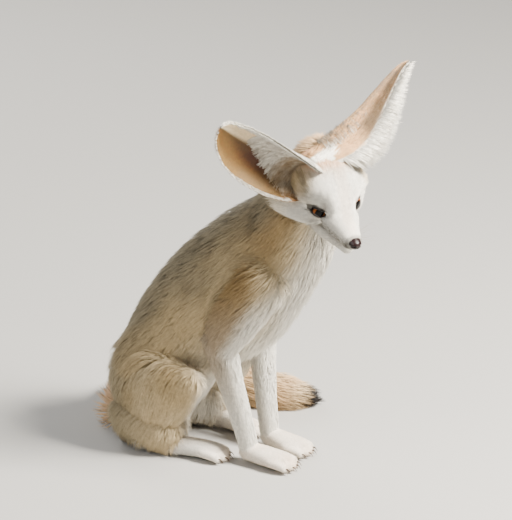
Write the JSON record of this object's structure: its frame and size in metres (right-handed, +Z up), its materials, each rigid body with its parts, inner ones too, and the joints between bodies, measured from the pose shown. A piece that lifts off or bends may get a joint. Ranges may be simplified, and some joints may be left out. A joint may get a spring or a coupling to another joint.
{
  "type": "fennec fox",
  "caption": "Life-size still model of a sitting fennec fox with very large ears, its head turned to its right and its bushy tail curled forward along its left side.",
  "frame": {"origin": "middle of the bounding box, on the surface that the fox sits on", "axes": "+Z up, -Y the way that the body faces, +X the fox's left"},
  "size_m": [0.2438, 0.301, 0.3552],
  "materials": {
    "sandy_coat": "soft fur, sandy and greyish along the back",
    "white_coat": "soft white fur",
    "ear_skin": "thin skin with short down, paler at the rim",
    "nose_skin": "moist, finely pebbled black skin",
    "eye": "glossy, dark brown"
  },
  "bodies": {
    "root": {"torso": "sandy_coat", "neck": "sandy_coat", "head": "white_coat", "nose": "nose_skin", "ear_left": "ear_skin", "ear_right": "ear_skin", "eye_left": "eye", "eye_right": "eye", "foreleg_left": "white_coat", "foreleg_right": "white_coat", "forepaw_left": "white_coat", "forepaw_right": "white_coat", "hindleg_left": "sandy_coat", "hindleg_right": "sandy_coat", "hindfoot_left": "white_coat", "hindfoot_right": "white_coat", "tail_base": "sandy_coat", "tail_middle": "sandy_coat", "tail_tip": "sandy_coat"}
  },
  "joints": []
}
